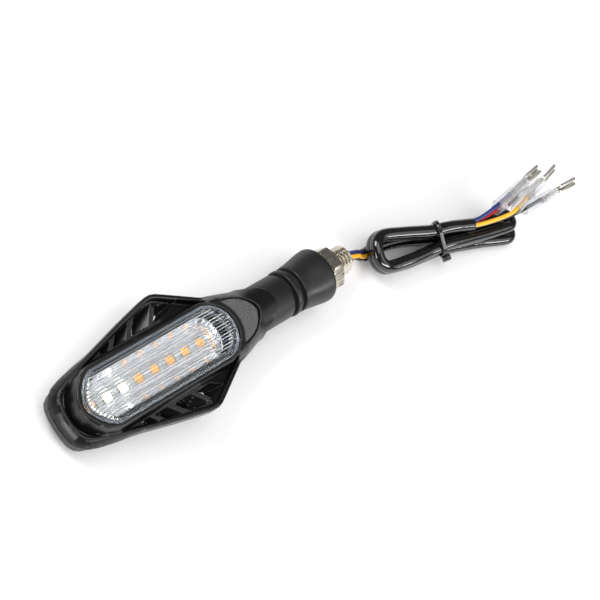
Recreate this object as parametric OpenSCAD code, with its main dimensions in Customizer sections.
// Motorcycle LED turn signal with a flexible rubber stem, a vented kite-shaped
// shroud, a fluted clear lens and a four-wire harness.
//
// Frame: the origin is the centre of the boot's mounting face, on the stud's axis.
// +X runs along the stem towards the lamp's tip, +Z points out of the lens,
// and the lamp's outlines are symmetric about the plane Y = 0. The stud and the
// coiled harness lie on the -X side. Millimetres.

/* [Stud and nut] */
// Outside radius of the threaded stud (M10)
stud_r = 5; // [4.9:0.05:5.1]
// Length of the stud beyond the mounting face
stud_len = 13.2; // [12.5:0.1:16]
// Radius of the wire bore through the stud
stud_bore_r = 2.7; // [2.5:0.1:2.9]
// Distance of the milled flat from the stud's axis
stud_flat = 4.0; // [3.9:0.05:4.2]
// Direction of the milled flat, turned from +Z towards +Y
flat_turn = 62; // [0:1:180]
// Nut size across its flats
nut_af = 14; // [13.5:0.5:16]
// Nut thickness
nut_t = 5; // [4:0.2:5.4]
// Lock washer thickness
washer_t = 1; // [0.8:0.1:1.4]
// Lock washer outside radius
washer_r = 7.4; // [7:0.1:8.4]

/* [Rubber stem] */
// Boot radius at the mounting face
boot_r = 9.5; // [9.3:0.1:10]
// Boot radius at the first flex groove
boot_r2 = 8.05; // [7.8:0.05:8.4]
// Distance of the first groove from the mounting face
boot_len = 13; // [12.6:0.1:13]
// Width of the first flex groove
groove1 = 1.8; // [1.6:0.1:1.8]
// Width of the ring between the grooves
ring_w = 2; // [1.8:0.1:2]
// Width of the second flex groove
groove2 = 1.4; // [1.4:0.1:1.6]
// Radius of the ring
ring_r = 8.1; // [7.9:0.05:8.3]
// Radius of the stem on the lamp side
neck_r = 7.8; // [7.6:0.05:7.9]
// Radius of the rubber core left in the grooves
core_r = 4.6; // [4.2:0.1:4.8]
// Bore for the wires through the rubber
stem_bore_r = 2.3; // [2.1:0.1:2.5]

/* [Lamp head] */
// Height of the bezel above the stem's axis
bezel_z = 7.6; // [7.4:0.1:8]
// Height of the lens crown above the stem's axis
lens_z = 8.4; // [8.2:0.1:8.9]
// Height of the shroud's rim at its widest point
rim_apex_z = 6.2; // [5.6:0.1:6.6]
// Height of the shroud's rim at the tip
rim_tip_z = 1.7; // [1.4:0.1:2.2]
// Height of the shroud's rim where it meets the stem
rim_neck_z = 4.2; // [3.8:0.1:4.6]
// Wall thickness of the shroud's rim
rim_wall = 1.7; // [1.5:0.1:2]
// Depth of the shroud's dish below its rim
dish_drop = 2.6; // [2.2:0.1:3]
// Number of vents on each side
vents = 4; // [2:1:4]
// Lowest point of the rear housing
back_z = -9.4; // [-9.5:0.1:-9.2]

/* [Electronics] */
// Number of LEDs in the row
leds = 8; // [6:1:8]
// Spacing of the LEDs
led_pitch = 6.45; // [6:0.05:6.5]
// Distance of the first LED from the mounting face
led_x0 = 55.3; // [55:0.1:56]
// Thickness of the circuit board
board_t = 1.2; // [1:0.1:1.2]

/* [Harness] */
// Radius of one insulated wire
wire_r = 0.74; // [0.6:0.02:0.75]
// Distance of each wire from the middle of the bundle
wire_off = 1.06; // [1.06:0.01:1.08]
// Outside radius of the black cable sleeve
sleeve_r = 2.25; // [2.2:0.05:2.4]
// Bore radius of the black cable sleeve
sleeve_bore = 1.97; // [1.95:0.01:2]
// Radius of the coil's turn next to the stud
turn_r_near = 5.2; // [4.8:0.1:5.6]
// Radius of the coil's far turn
turn_r_far = 2.4; // [2.4:0.1:2.8]
// Length of the coil between its turns
coil_len = 55; // [50:1:60]
// Rise of the coil with each full turn
coil_rise = 4.8; // [4.7:0.1:5.2]
// Direction of the coil in the floor plane
coil_yaw = 166; // [164:1:168]

/* [Hidden] */
$fn = 48;

eps = 0.02;                              // small gap or overlap between faces

// stations along the stem
ring_x = boot_len + groove1;             // near face of the ring
neck_x = ring_x + ring_w + groove2;      // near face of the lamp-side stem
flex1_x = boot_len + groove1 / 2;        // middle of the first groove
flex2_x = ring_x + ring_w + groove2 / 2; // middle of the second groove
core_gap = 0.42;                         // half the free gap in the core
neck_end = 34;                           // where the rubber stem ends in the lamp
collar_end = 48;                         // where the collar ends in the lamp
spigot_end = 41.2;                       // where the housing's spigot ends in the lamp

// ---------- outlines of the lamp ----------
// Half outlines at Y >= 0, each point [x, y], from the tip round to the stem.
lens_half = [[103.8, 0], [103.4, 1.8], [102.3, 4.0], [99.9, 6.8], [97.1, 8.8],
             [51.5, 8.8], [48.3, 7.7], [46.0, 5.7], [44.6, 3.1], [44.1, 0]];
seat_half = [[105.4, 0], [105.0, 1.9], [103.7, 4.6], [101.0, 7.5], [97.7, 9.4],
             [51.2, 9.4], [47.9, 8.2], [45.4, 6.1], [43.9, 3.3], [43.4, 0]];
bezel_half = [[107.3, 0], [106.5, 3.4], [104.5, 6.6], [101.6, 9.1], [97.7, 10.7],
              [51.4, 10.7], [47.2, 9.3], [44.1, 6.9], [42.3, 3.6], [41.7, 0]];
kite_half = [[109.8, 0], [109.6, 3], [109.0, 6], [107.9, 7.9], [106.2, 9.2],
             [103, 10.5], [96.3, 12.8], [86.6, 15.5], [77, 18.0], [68.5, 20.0],
             [66, 20.5], [64, 20.5], [62, 19.9], [60, 18.9], [46.5, 11.7],
             [44, 10.9]];
tub_half = [[111.7, 0], [111.5, 3.2], [110.8, 6.3], [109.5, 8.5], [107.3, 9.9],
            [103.4, 11.1], [96.6, 13.0], [92, 13.2], [88.5, 12.0], [50, 11.8],
            [46.5, 11.2], [44, 10.6]];
// the trim cap's outline, from the bezel to its point over the stem
cap_half = [[45.2, 8.7], [42.5, 8.2], [40, 7.5], [37.3, 6.1], [35, 4.0], [33.7, 1.9],
            [33.2, 0]];

// whole outline from its half at Y >= 0
function both(half) = concat(half,
    [for (p = reversed(half)) if (p[1] > 0.001) [p[0], -p[1]]]);
function reversed(list) = [for (i = [len(list) - 1:-1:0]) list[i]];
function unit(v) = v / norm(v);
// outline moved inwards by d (the outline runs anticlockwise seen from +Z)
function inset(outline, d) = let(count = len(outline)) [for (i = [0:count - 1])
    let(corner = outline[i],
        dir_in = unit(corner - outline[(i + count - 1) % count]),
        dir_out = unit(outline[(i + 1) % count] - corner),
        normal_in = [-dir_in[1], dir_in[0]],
        normal_out = [-dir_out[1], dir_out[0]])
    corner + d * (normal_in + normal_out) / (1 + normal_in * normal_out)];

lens_outline = both(lens_half);
seat_outline = both(seat_half);
bezel_outline = both(bezel_half);
kite_outline = both(kite_half);
tub_outline = both(tub_half);
cap_outline = both(cap_half);

// ---------- solids from outlines ----------
module prism(outline, z0, z1) translate([0, 0, z0]) linear_extrude(z1 - z0) polygon(outline);
// side profile of points [x, z], swept across the whole width
module side(profile) translate([0, 30, 0]) rotate([90, 0, 0]) linear_extrude(60) polygon(profile);
// turned shape about the X axis: profile points are [x, radius]
module turned(profile) rotate([90, 0, 90]) rotate_extrude($fn = 96)
    polygon([for (p = profile) [p[1], p[0]]]);
module xcyl(r, x0, x1, fn = 48) translate([x0, 0, 0]) rotate([0, 90, 0])
    cylinder(r = r, h = x1 - x0, $fn = fn);

// ---------- swept rods and tubes ----------
function tangent(path, i) = let(last = len(path) - 1)
    unit(i == 0 ? path[1] - path[0]
        : i == last ? path[last] - path[last - 1]
        : unit(path[i + 1] - path[i]) + unit(path[i] - path[i - 1]));
function side_dir(t) = unit(cross([0, 0, 1], t));
// path moved sideways by across and upwards by up, square to the path
function shifted(path, across, up) = [for (i = [0:len(path) - 1])
    let(t = tangent(path, i), s = side_dir(t)) path[i] + across * s + up * cross(t, s)];
// circles of radius r round every point of the path, as one point list
function rings(path, r, sides) = [for (i = [0:len(path) - 1])
    let(t = tangent(path, i), s = side_dir(t), u = cross(t, s))
    for (k = [0:sides - 1])
        path[i] + r * (cos(360 * k / sides) * s + sin(360 * k / sides) * u)];
// triangles joining neighbouring rings, whose points start at index first
function skin(first, stations, sides) = [for (i = [0:stations - 2], k = [0:sides - 1])
    let(a = first + i * sides + k, b = first + i * sides + (k + 1) % sides)
    each [[a, a + sides, b + sides], [a, b + sides, b]]];
// solid rod along the path
module rod(path, r, sides = 6) {
    stations = len(path);
    polyhedron(
        points = rings(path, r, sides),
        faces = concat([[for (k = [0:sides - 1]) k]],
            skin(0, stations, sides),
            [[for (k = [sides - 1:-1:0]) (stations - 1) * sides + k]]),
        convexity = 10);
}
// hollow tube along the path
module tube(path, r, bore_r, sides) {
    stations = len(path);
    inner = stations * sides;            // index of the first bore point
    end = (stations - 1) * sides;        // index of the last outer ring
    polyhedron(
        points = concat(rings(path, r, sides), rings(path, bore_r, sides)),
        faces = concat(
            skin(0, stations, sides),
            [for (face = skin(inner, stations, sides)) reversed(face)],
            [for (k = [0:sides - 1]) let(b = (k + 1) % sides)
                each [[k, b, inner + b], [k, inner + b, inner + k]]],
            [for (k = [0:sides - 1]) let(a = end + k, b = end + (k + 1) % sides)
                each [[b, a, inner + a], [b, inner + a, inner + b]]]),
        convexity = 10);
}

// ---------- stud, washer, nut ----------
thread_pitch = 1.5;
thread_depth = 0.55;
root_x = -6.3;                           // middle one of the drawn thread roots
stud_end = 8;                            // end of the stud inside the boot
stud_fit = 0.06;                         // gap between the stud and washer or nut
head_r = 7;                              // moulded-in head of the stud
head_x = 3;
head_t = 3.5;
nut_x = -washer_t - nut_t;
nut_corner_r = nut_af / sqrt(3);
nut_bevel = 0.6;

module stud_flat_cut(d, x0, x1) rotate([-flat_turn, 0, 0])
    translate([x0, -10, d]) cube([x1 - x0, 20, 10]);

// moulded-in head with flats that key it in the rubber
module stud_head(gap = 0) translate([head_x - gap, 0, 0]) rotate([0, 90, 0]) rotate([0, 0, 30])
    cylinder(r = head_r + 2 * gap, h = head_t + 2 * gap, $fn = 6);

module threaded_stud() color([0.80, 0.78, 0.73]) difference() {
    union() {
        difference() {
            turned([[-stud_len, 0], [-stud_len, stud_r - 0.8], [-stud_len + 0.8, stud_r],
                    [stud_end, stud_r], [stud_end, 0]]);
            // thread drawn as rings of roots, one pitch apart
            for (k = [-3:3]) {
                x = root_x + k * thread_pitch;
                half_w = k == 0 ? 0.32 : 0.22;
                turned([[x - half_w, stud_r + 1], [x - half_w, stud_r],
                        [x, stud_r - thread_depth],
                        [x + half_w, stud_r], [x + half_w, stud_r + 1]]);
            }
            stud_flat_cut(stud_flat, -stud_len - 1, 0);
        }
        stud_head();
    }
    xcyl(stud_bore_r, -stud_len - 1, stud_end + 1);
}

module lock_washer() color([0.86, 0.85, 0.82]) difference() {
    xcyl(washer_r, -washer_t, -0.01, 64);
    difference() {
        xcyl(stud_r + stud_fit, -washer_t - 1, 1);
        stud_flat_cut(stud_flat + stud_fit, -washer_t - 2, 2);
    }
}

module hex_nut() color([0.82, 0.79, 0.73]) difference() {
    intersection() {
        translate([nut_x, 0, 0]) rotate([0, 90, 0]) rotate([0, 0, 18])
            cylinder(r = nut_corner_r, h = nut_t - 0.01, $fn = 6);
        // bevels both ends of the corners
        turned([[nut_x, 0], [nut_x, nut_af / 2 - 0.15],
                [nut_x + nut_bevel, nut_corner_r + 0.1],
                [nut_x + nut_t - nut_bevel, nut_corner_r + 0.1],
                [nut_x + nut_t, nut_af / 2 - 0.15], [nut_x + nut_t, 0]]);
    }
    xcyl(stud_r + stud_fit, nut_x - 1, 0);
}

// ---------- rubber stem ----------
module stem_boot() color([0.13, 0.13, 0.13]) difference() {
    turned([[0, 0], [0, boot_r - 0.9], [0.25, boot_r - 0.25], [0.9, boot_r],
            [boot_len - 0.6, boot_r2], [boot_len, boot_r2 - 0.6],
            [boot_len, core_r], [flex1_x - core_gap, core_r], [flex1_x - core_gap, 0]]);
    xcyl(stud_r + eps, -1, stud_end + eps);
    stud_head(eps);
    xcyl(stem_bore_r, 7, 15);
}

module stem_ring() color([0.13, 0.13, 0.13]) difference() {
    turned([[flex1_x + core_gap, 0], [flex1_x + core_gap, core_r], [ring_x, core_r],
            [ring_x, ring_r - 0.5], [ring_x + 0.5, ring_r],
            [ring_x + ring_w - 0.5, ring_r], [ring_x + ring_w, ring_r - 0.5],
            [ring_x + ring_w, core_r], [flex2_x - core_gap, core_r],
            [flex2_x - core_gap, 0]]);
    xcyl(stem_bore_r, 13, 19);
}

module stem_neck() color([0.13, 0.13, 0.13]) difference() {
    turned([[flex2_x + core_gap, 0], [flex2_x + core_gap, core_r], [neck_x, core_r],
            [neck_x, neck_r - 0.6], [neck_x + 0.6, neck_r], [neck_end, neck_r],
            [neck_end, 0]]);
    xcyl(stem_bore_r, 17, 23);
    // socket for the housing's spigot
    xcyl(6.25, 22, neck_end + 1);
}

lead_off = 0.9;                          // the board leads' places across and up in the stem
module neck_grommet() color([0.10, 0.10, 0.10]) difference() {
    xcyl(4.15, 36, 39.5);
    for (y = [-lead_off, lead_off], z = [-lead_off, lead_off]) translate([0, y, z])
        xcyl(wire_r + eps, 35, 41, 24);
}

// ---------- rear housing ----------
tub_top = 0.4;
// parting line of the two shells where it slopes down to the tip: [x, z]
parting_slope = [[109, -1.7], [97, -0.75], [88, -0.1]];
// the front shell's side of the same slope, from the stem to the tip
shell_slope = [for (p = reversed(parting_slope)) p + [0, eps]];
// underside of the tub: [x, z]
back_line = [[30, -9.1], [36, -9.1], [41, back_z], [86, back_z], [100, back_z + 0.7],
             [107.5, back_z + 1.8], [110, back_z + 2.8], [113, back_z + 4.4]];

screw_pts = [[96.5, 8.95], [49.8, 8.2]]; // [x, y], mirrored to the other side
module at_screws() for (p = screw_pts, s = [-1, 1]) translate([p[0], s * p[1], 0]) children();

// flared collar between the stem and the lamp
module collar() turned([[34, 0], [34, neck_r + 0.95], [36, neck_r + 1.15], [40, 9.9],
                        [44, 11.1], [collar_end, 11.9], [collar_end, 0]]);

// room for the end of the rubber stem
module neck_bore(x0) xcyl(neck_r + 0.05, x0, neck_end + 0.03, 96);

module tub() intersection() {
    prism(tub_outline, -12, 2);
    side(concat(back_line, [[113, -1.8]], parting_slope,
                [[80, tub_top], [collar_end, tub_top], [44, tub_top], [30, 0]]));
}

module lower_collar() intersection() {
    collar();
    side([[33, -eps], [48.5, -eps], [48.5, back_z], [41, back_z], [36, -9.1], [33, -9.1]]);
}

module tub_chamber() intersection() {
    prism(inset(tub_outline, 1.7), -12, 3);
    side([[47, 4], [47, back_z + 1.6], [86, back_z + 1.6], [100, back_z + 2.4],
          [107, back_z + 3.4], [110, 4]]);
}

module rear_housing() color([0.11, 0.11, 0.11]) difference() {
    union() {
        difference() {
            union() {
                tub();
                lower_collar();
            }
            tub_chamber();
            neck_bore(30);
            // room for the front shell's half of the cable passage
            prism([[spigot_end, -13], [collar_end + eps, -13],
                   [collar_end + eps, 13], [spigot_end, 13]], -eps, 2);
        }
        // spigot that the rubber stem is pushed over
        xcyl(6.2, 22.4, spigot_end, 96);
        // screw bosses
        intersection() {
            at_screws() translate([0, 0, back_z + 1])
                cylinder(r = 2.5, h = -4.05 - back_z - 1, $fn = 32);
            prism(inset(tub_outline, 0.3), -12, 3);
        }
        // board posts
        for (x = [57.5, 92], s = [-1, 1]) translate([x, 5.4 * s, back_z + 1])
            cylinder(r = 1.3, h = -back_z - 1 - eps, $fn = 24);
    }
    // wire bore
    xcyl(4.2, 20, 49);
    // screw holes with counterbored seats
    at_screws() {
        translate([0, 0, back_z - 1]) cylinder(r = 1.1, h = 9, $fn = 24);
        translate([0, 0, back_z - 1]) cylinder(r = 1.9, h = 2.9, $fn = 32);
    }
}

// ---------- front shell ----------
rim_neck_x = 46;
rim_apex_x = 64;
rim_tip_x = 109;
// height of the rim at x
function rim_top(x) = x > rim_apex_x
    ? rim_apex_z - (x - rim_apex_x) * (rim_apex_z - rim_tip_z) / (rim_tip_x - rim_apex_x)
    : rim_apex_z - (rim_apex_x - x) * (rim_apex_z - rim_neck_z) / (rim_apex_x - rim_neck_x);
// line below the rim's top, from the tip to the stem: [x, z]
function rim_line(drop) = [for (x = [112, rim_tip_x, rim_apex_x, 44, 34]) [x, rim_top(x) - drop]];

// vents from the stem to the tip: four corners [x, y] of each wedge
vent_wedges = [[[66.4, 12.6], [62.9, 16.8], [56.4, 15.2], [60.6, 12.6]],
               [[75.2, 12.4], [71.0, 17.2], [64.4, 18.2], [68.8, 12.4]],
               [[82.2, 12.2], [79.6, 15.2], [74.4, 16.6], [77.8, 12.2]],
               [[87.6, 12.0], [86.2, 14.6], [82.2, 15.2], [84.6, 12.0]]];
module vent(i, s) mirror([0, s < 0 ? 1 : 0, 0]) prism(vent_wedges[i], -3, 12);

// wall round the kite
module rim() intersection() {
    difference() {
        prism(kite_outline, -5, 9);
        prism(inset(kite_outline, rim_wall), -6, 10);
    }
    side(concat([[30, 1.2], [64, 2.2], [70, 1.4]], shell_slope, [[112, -1.75 + eps]],
                rim_line(0)));
}

// dish between the rim and the bezel
module dish() intersection() {
    prism(inset(kite_outline, 0.5), -5, 9);
    side(concat([[34, rim_top(34) - dish_drop - 1.6],
                 [rim_apex_x, rim_top(rim_apex_x) - dish_drop - 1.6],
                 [112, rim_top(112) - dish_drop - 0.6]],
                rim_line(dish_drop)));
}

// upper half of the collar, under the trim cap
module cap_shoulder() intersection() {
    collar();
    side([[33, 0], [collar_end, tub_top + eps], [collar_end, bezel_z + 0.5], [42, 8.3],
          [33, 9.2]]);
}

// pointed tongue over the rubber stem
module stem_tongue() intersection() {
    turned([[25, 0], [25, neck_r + 0.8], [30, neck_r + 0.8], [36, neck_r + 1.1], [36, 0]]);
    prism(both([[25.9, 0], [26.2, 2], [27.1, 4], [28.6, 5.6], [31, 7.1], [33.4, 8.4],
                [34, 12], [36, 12]]), 0, 12);
}

// space taken by the rear housing's tub
module tub_clearance() intersection() {
    prism(inset(tub_outline, -0.02), -12, 3);
    side(concat([[40, -12], [40, 0], [collar_end + eps, 0],
                 [collar_end + eps, tub_top + eps], [80, tub_top + eps]],
                shell_slope, [[113, -1.8 + eps], [113, -12]]));
}

module cap_pocket() difference() {
    prism(cap_outline, 7.1, 12);
    prism(bezel_outline, 0, 14);
    // the pocket is shallow over the rubber stem
    translate([20, -10, 0]) cube([neck_end + 0.1 - 20, 20, 7.88]);
}

module front_shell() color([0.12, 0.12, 0.12]) difference() {
    union() {
        difference() {
            union() {
                rim();
                dish();
                // raised bezel round the lens
                prism(bezel_outline, tub_top + eps, bezel_z);
                cap_shoulder();
                stem_tongue();
            }
            for (i = [0:vents - 1], s = [-1, 1]) vent(i, s);
            tub_clearance();
        }
        // bosses for the four screws
        at_screws() translate([0, 0, -4]) cylinder(r = 1.6, h = 5.6, $fn = 32);
    }
    // lens seat, ledge and light opening
    prism(seat_outline, 3.0, 12);
    prism(inset(seat_outline, 1.9), -2, 12);
    neck_bore(20);
    // room for the spigot
    xcyl(6.22, 20, spigot_end + 0.02, 96);
    // cable passage under the lens seat
    translate([spigot_end - 1, -4.2, -1]) cube([8, 8.4, 3.6]);
    // screw pilot holes
    at_screws() translate([0, 0, -5]) cylinder(r = 0.97, h = 6, $fn = 24);
    cap_pocket();
}

module trim_cap() color([0.30, 0.30, 0.30]) difference() {
    intersection() {
        prism(inset(cap_outline, 0.25), 7.12, 10);
        // sloping top, thin over the rubber stem
        side([[30, 7.9], [30, 8.35], [36, 8.2], [46, 7.9], [46, 7.1], [neck_end + 0.12, 7.1],
              [neck_end + 0.12, 7.9]]);
    }
    prism(inset(bezel_outline, -0.3), 0, 14);
}

// ---------- lens and gasket ----------
lens_wall = 1.2;
crown_t = 1.5;
flute_pitch = 1.2;
flute_r = 0.4;
module lens() color([0.86, 0.90, 0.94, 0.35]) difference() {
    union() {
        prism(inset(seat_outline, 0.08), 4.02, bezel_z + 0.1);
        prism(lens_outline, bezel_z, lens_z);
    }
    // hollow, with lengthwise flutes under the crown
    difference() {
        prism(inset(lens_outline, lens_wall), 3, lens_z - crown_t);
        for (i = [-6:6]) translate([0, i * flute_pitch, lens_z - crown_t])
            xcyl(flute_r, 40, 108, 16);
    }
}

module lens_gasket() color([0.82, 0.84, 0.86]) difference() {
    prism(inset(seat_outline, 0.1), 3.01, 4.0);
    prism(inset(seat_outline, 1.7), 2, 5);
}

// ---------- electronics ----------
board_z = 0.02;                          // underside of the board
board_top = board_z + board_t;
part_gap = 0.01;                         // gap between the board and its parts
led_l = 3.5;                             // LED size along X
led_w = 2.8;                             // LED size along Y
led_step = 0.3;                          // step from the LED's body to its window
window_gap = 0.3;                        // gap round each LED in the reflector

function led_x(i) = led_x0 + i * led_pitch;
function is_white(i) = i == 5 || i == 6;
// the board's wire holes, counted from -Y
hole_x = 52.2;
function hole_y(i) = -3.3 + 2.2 * i;

module led_board() color([0.90, 0.91, 0.90]) difference() {
    intersection() {
        prism(inset(seat_outline, 2.15), board_z, board_top);
        prism([[50.2, -9], [104, -9], [104, 9], [50.2, 9]], board_z - 1, board_z + 3);
    }
    for (i = [0:3]) translate([hole_x, hole_y(i), -1]) cylinder(r = 0.5, h = 4, $fn = 20);
}

// LED package: body, with its lens window as part of the same chip
module led(i) translate([led_x(i), 0, board_top + part_gap]) {
    translate([-led_l / 2, -led_w / 2, 0]) cube([led_l, led_w, 0.55]);
    translate([-led_l / 2 + led_step, -led_w / 2 + led_step, 0])
        cube([led_l - 2 * led_step, led_w - 2 * led_step, 0.85]);
}
module amber_leds() color([0.95, 0.62, 0.12]) for (i = [0:leds - 1]) if (!is_white(i)) led(i);
module white_leds() color([1, 0.98, 0.90]) for (i = [0:leds - 1]) if (is_white(i)) led(i);

// block on the board's underside
module under_board(x, y, size) translate([x, y, board_z - size[2] - part_gap]) cube(size);
module driver_parts() color([0.12, 0.12, 0.13]) {
    // two rows of small parts, then the driver chip and a block near the tip
    for (i = [0:5]) under_board(60 + 5.2 * i, 1.6, [3.2, 1.6, 0.6]);
    for (i = [0:3]) under_board(61 + 5.2 * i, -3.4, [2, 1.25, 0.6]);
    under_board(83, -4, [5, 4, 1.6]);
    under_board(95, -1.4, [4.4, 2.8, 2.0]);
}

module reflector() color([0.88, 0.89, 0.90]) difference() {
    prism(both([[101.9, 0], [101.6, 1.7], [100.5, 3.7], [98.4, 5.9], [96.2, 7.0], [54.5, 7.0],
                [51.6, 5.6], [50.2, 3.2], [49.8, 0]]), board_top + 0.02, 5.6);
    // stepped tray: three steps down to the floor
    for (k = [0:2])
        prism(both([[101.3 - 0.55 * k, 0], [99.9 - 0.5 * k, 3.5],
                    [96.0 - 0.5 * k, 6.3 - 0.9 * k], [54.8 + 0.6 * k, 6.3 - 0.9 * k],
                    [51.6 + 0.8 * k, 4.6 - 0.7 * k], [50.5 + 0.9 * k, 0]]),
              board_top + 0.7 + 1.2 * (2 - k), 7);
    // LED windows
    for (i = [0:leds - 1])
        translate([led_x(i) - led_l / 2 - window_gap, -led_w / 2 - window_gap, 0])
            cube([led_l + 2 * window_gap, led_w + 2 * window_gap, 4]);
}

module housing_screws() color([0.55, 0.55, 0.56]) at_screws() difference() {
    union() {
        translate([0, 0, back_z + 0.55]) cylinder(r = 1.8, h = 1.3, $fn = 32);
        translate([0, 0, back_z + 1.8]) cylinder(r = 0.95, h = 8.3, $fn = 24);
    }
    // cross recess
    for (a = [0, 90]) translate([0, 0, back_z]) rotate([0, 0, a])
        translate([-1.1, -0.22, 0]) cube([2.2, 0.44, 1.25]);
}

// ---------- the coil ----------
floor_z = -boot_r;                       // the plane that the harness lies on
lay_z = floor_z + sleeve_r + 0.05;       // centre height of the lowest strand
coil_origin = [-36, 7];
// centres of the turns of each loop, [along, across] the coil
near_centres = [[-3.94, -1.43], [-5.9, -0.37]];
far_centres = [[coil_len - 1.32, 0.87], [coil_len - 3.04, -2.23]];

// coil coordinates to the lamp's frame
function coil_point(along, across, z) = [
    coil_origin[0] + along * cos(coil_yaw) + across * sin(coil_yaw),
    coil_origin[1] + along * sin(coil_yaw) - across * cos(coil_yaw), z];
// position of a point along and across the coil
function coil_along(p) = (p[0] - coil_origin[0]) * cos(coil_yaw)
    + (p[1] - coil_origin[1]) * sin(coil_yaw);
function coil_across(p) = (p[0] - coil_origin[0]) * sin(coil_yaw)
    - (p[1] - coil_origin[1]) * cos(coil_yaw);
// point at angle a on a turn
function turn_point(centre, r, a, z) =
    coil_point(centre[0] + r * cos(a), centre[1] + r * sin(a), z);
// far turn and near turn of a loop, each a half circle
function far_turn(loop) = [for (a = [-90:30:90])
    turn_point(far_centres[loop], turn_r_far, a,
        lay_z + coil_rise * (loop + (a + 90) / 1800))];
function near_turn(loop) = [for (a = [90:22.5:270])
    turn_point(near_centres[loop], turn_r_near, a,
        lay_z + coil_rise * (loop + 0.25 + 0.75 * min(1, (a - 90) / 100)))];
// strand through points [along, across], climbing evenly between points from and to
function lane(stations, from, to) = [for (s = stations)
    coil_point(s[0], s[1], from[2] + (to[2] - from[2]) * (s[0] - coil_along(from))
        / (coil_along(to) - coil_along(from)))];

// the strands rise where the slanted cable tie passes under them
tie_along = 20;
tie_z = lay_z + coil_rise;               // height at which the tie crosses tie_along
tie_tilt = 30;
tie_t = 0.75;
tie_gap = 0.28;
function raised(p) = [p[0], p[1],
    p[2] + (tie_t + tie_gap) * exp(-pow((coil_along(p) - tie_along - 4) / 8, 2))];

// bare bundle from the stud down to the sleeve's start on the floor
lead = [[-stud_len - 2.6, 0.1, -0.5], [-18.5, 0.45, -1.6], [-21.2, 0.85, -3.0],
        [-24.2, 1.45, -5.75]];
sleeve_start = [-27, 2.0, lay_z];
far0 = far_turn(0);
far1 = far_turn(1);
near0 = near_turn(0);
near1 = near_turn(1);
sleeve_end = coil_point(32.4, -2.34, lay_z + 2 * coil_rise);
sleeve_path = [for (p = concat(
    [sleeve_start],
    lane([[-5.5, -3.9], [0, -4.7], [7, -4.8], [14, -4.1], [21, -3.2], [28, -2.9], [41, -2.3]],
         sleeve_start, far0[0]),
    far0,
    lane([[42, 2.35], [28, 1.9], [21, 1.9], [14, 2.6], [6, 3.6]], far0[6], near0[0]),
    near0,
    lane([[6, -5.6], [14, -4.3], [21, -3.5], [28, -3.1], [41, -3.7]], near0[8], far1[0]),
    far1,
    lane([[41, 0.95], [28, 1.5], [21, 1.8], [14, 2.6], [5, 4.0]], far1[6], near1[0]),
    near1,
    lane([[5, -4.5], [14, -3.3], [22, -3.0]], near1[8], sleeve_end),
    [sleeve_end])) raised(p)];
// middle of the whole bundle, from inside the stem to the sleeve's far end
bundle = concat([[boot_len + 0.2, 0, 0], [2, 0, 0], [-stud_len, 0, 0]], lead, sleeve_path);

module cable_sleeve() color([0.03, 0.03, 0.03]) tube(sleeve_path, sleeve_r, sleeve_bore, 10);

// ---------- wires ----------
// Blue, red, yellow, black: [side across the bundle, side upwards, end of the insulation,
// tip direction, roll of the terminal, how far its clear sleeve starts behind the terminal]
wires = [
    [ 1,  1, [-87.2, 10.6, 6.0],   [-0.991, -0.137, 0],  8,  9.2],
    [ 1, -1, [-88.9, 12.25, 2.15], [-0.999, -0.053, 0], 90,  9.2],
    [-1,  1, [-94.4, 14.6, 6.0],   [-0.977, -0.215, 0], 55, 10],
    [-1, -1, [-103.6, 17.8, 1.6],  [-1, 0.024, 0],      40, 11.5]];
function wire_end(k) = wires[k][2];
function tip_dir(k) = unit(wires[k][3]);
function tip_roll(k) = wires[k][4];
function tip_sleeve_back(k) = wires[k][5];

wire_step = wire_off * 0.7072;           // the wire's offset both across and upwards
function bezier(p0, p1, p2, p3, t) = pow(1 - t, 3) * p0 + 3 * pow(1 - t, 2) * t * p1
    + 3 * (1 - t) * t * t * p2 + t * t * t * p3;
function wire_path(k) =
    let(laid = shifted(bundle, wires[k][0] * wire_step, wires[k][1] * wire_step),
        dir = tip_dir(k),
        start = laid[len(laid) - 1],
        start_dir = unit(start - laid[len(laid) - 2]),
        stop = wire_end(k) - dir * (tip_sleeve_back(k) - 1.5),
        handle = norm(stop - start) * 0.6 / 3)
    concat(laid,
        // smooth curve leaving along the cable sleeve and arriving along the clear sleeve
        [for (t = [0.17, 0.34, 0.5, 0.67, 0.83, 1])
            bezier(start, start + start_dir * handle, stop - dir * handle, stop, t)],
        [wire_end(k) + dir * 2.0]);

module wire_blue() color([0.10, 0.12, 0.42]) rod(wire_path(0), wire_r);
module wire_red() color([0.75, 0.08, 0.06]) rod(wire_path(1), wire_r);
module wire_yellow() color([0.93, 0.70, 0.12]) rod(wire_path(2), wire_r);
module wire_black() color([0.04, 0.04, 0.04]) rod(wire_path(3), wire_r);

// from the lamp side of the stem, through the grommet, to the board's holes
module board_leads() color([0.15, 0.15, 0.40]) for (k = [0:3]) {
    y = -wires[k][0] * lead_off;
    z = wires[k][1] * lead_off;
    bend_y = [-3, -1.3, 3, 1.3][k];
    end_y = hole_y([0, 1, 3, 2][k]);
    rod([[neck_x + 0.2, y, z], [30, y, z], [40, y, z], [46, bend_y, z - 0.6],
         [hole_x, end_y, -1.6], [hole_x + 1, end_y, -0.9]], wire_r, 10);
}

// ---------- cable tie ----------
// distance of a point from the tie's slanted plane
function tie_side(p) = (coil_along(p) - tie_along) * cos(tie_tilt)
    + (p[2] - tie_z) * sin(tie_tilt);
// where the strands cross that plane: [across, reversed; height above tie_z]
tie_hits = [for (i = [0:len(sleeve_path) - 2])
    let(p = sleeve_path[i], q = sleeve_path[i + 1], a = tie_side(p), b = tie_side(q))
    if (a * b < 0) let(hit = p + (q - p) * a / (a - b)) [-coil_across(hit), hit[2] - tie_z]];
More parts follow.
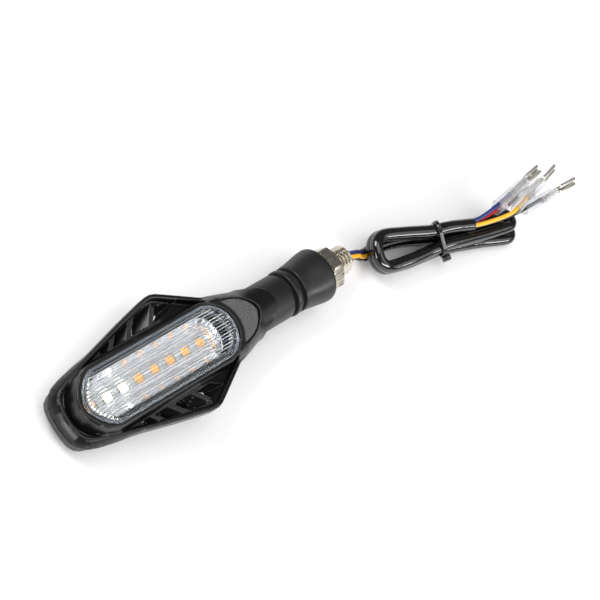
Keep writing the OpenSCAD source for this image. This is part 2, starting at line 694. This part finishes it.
// the same crossings in order round the bundle
tie_corners = [for (i = [0, 2, 4, 3, 1]) tie_hits[i]];
// closed line round the corners at radius r, stretched along the slant
function belt(corners, r) = let(count = len(corners)) [for (i = [0:count - 1])
    let(corner = corners[i],
        edge_in = corner - corners[(i + count - 1) % count],
        edge_out = corners[(i + 1) % count] - corner,
        start = atan2(edge_in[1], edge_in[0]) - 90,
        turn = atan2(edge_out[1], edge_out[0]) - 90 - start,
        sweep = turn < 0 ? turn + 360 : turn)
    for (j = [0:4]) let(a = start + sweep * j / 4)
        [corner[0] + r * cos(a), (corner[1] + r * sin(a)) / cos(tie_tilt)]];

// strap round the bundle, with its head beside the lowest strand on the +Y side
module cable_tie() color([0.04, 0.04, 0.04]) translate(coil_point(tie_along, 0, tie_z))
    rotate([0, 0, coil_yaw]) rotate([0, -tie_tilt, 0]) rotate([90, 0, 90])
    translate([0, 0, -0.6]) {
        strap_in = sleeve_r + tie_gap;
        linear_extrude(1.2) difference() {
            polygon(belt(tie_corners, strap_in + tie_t));
            polygon(belt(tie_corners, strap_in));
        }
        // head and cut tail
        strap_x = tie_hits[1][0] - strap_in - tie_t;
        translate([strap_x - 1.7, -3.4, -1]) cube([2.1, 2.9, 2.9]);
        translate([strap_x - 1.2, -4.7, 0.1]) cube([0.9, 5.4, 1]);
    }

// ---------- terminals ----------
receptacle_x = 8.95;
terminal_len = 17.8;
receptacle_len = terminal_len - receptacle_x;
plate_t = 0.35;
tip_sleeve_r = 1.95;
tip_sleeve_t = 0.25;
tip_sleeve_len = 18.1;

// at the end of wire k, with +X along its tip direction
module at_tip(k) {
    dir = tip_dir(k);
    translate(wire_end(k) + dir * 2.2)
        rotate([0, 0, atan2(dir[1], dir[0])]) rotate([0, -asin(dir[2]), 0])
        rotate([tip_roll(k), 0, 0]) children();
}

// female spade terminal: crimp barrel, neck, and a receptacle with two rolled edges
module terminal() difference() {
    union() {
        translate([0, -1.1, -0.3]) cube([receptacle_x + 1, 2.2, plate_t]);
        translate([receptacle_x, -1.6, -0.3]) cube([receptacle_len, 3.2, plate_t]);
        for (s = [-1, 1]) translate([receptacle_x, s * 1.15, 0.25]) rotate([0, 90, 0])
            difference() {
                cylinder(r = 0.58, h = receptacle_len, $fn = 20);
                translate([-0.5, -s * 0.28 - 0.12, -1]) cube([0.8, 0.24, 12]);
            }
        translate([0.05, -0.95, -0.55]) cube([3.6, 1.9, 1.3]);
    }
    translate([13.4, 0, -2]) cylinder(r = 0.6, h = 4, $fn = 20);
}
module spade_terminals() color([0.82, 0.81, 0.78]) for (k = [0:3]) at_tip(k) terminal();

module terminal_sleeves() color([0.90, 0.93, 0.96, 0.35]) for (k = [0:3]) at_tip(k) {
    x0 = -tip_sleeve_back(k);
    difference() {
        xcyl(tip_sleeve_r, x0, x0 + tip_sleeve_len, 24);
        xcyl(tip_sleeve_r - tip_sleeve_t, x0 - 1, x0 + tip_sleeve_len + 1, 24);
    }
}

threaded_stud();
stem_boot();
lock_washer();
hex_nut();
stem_ring();
stem_neck();
neck_grommet();
rear_housing();
front_shell();
trim_cap();
lens();
lens_gasket();
reflector();
led_board();
amber_leds();
white_leds();
driver_parts();
board_leads();
housing_screws();
wire_blue();
wire_red();
wire_yellow();
wire_black();
cable_sleeve();
cable_tie();
spade_terminals();
terminal_sleeves();
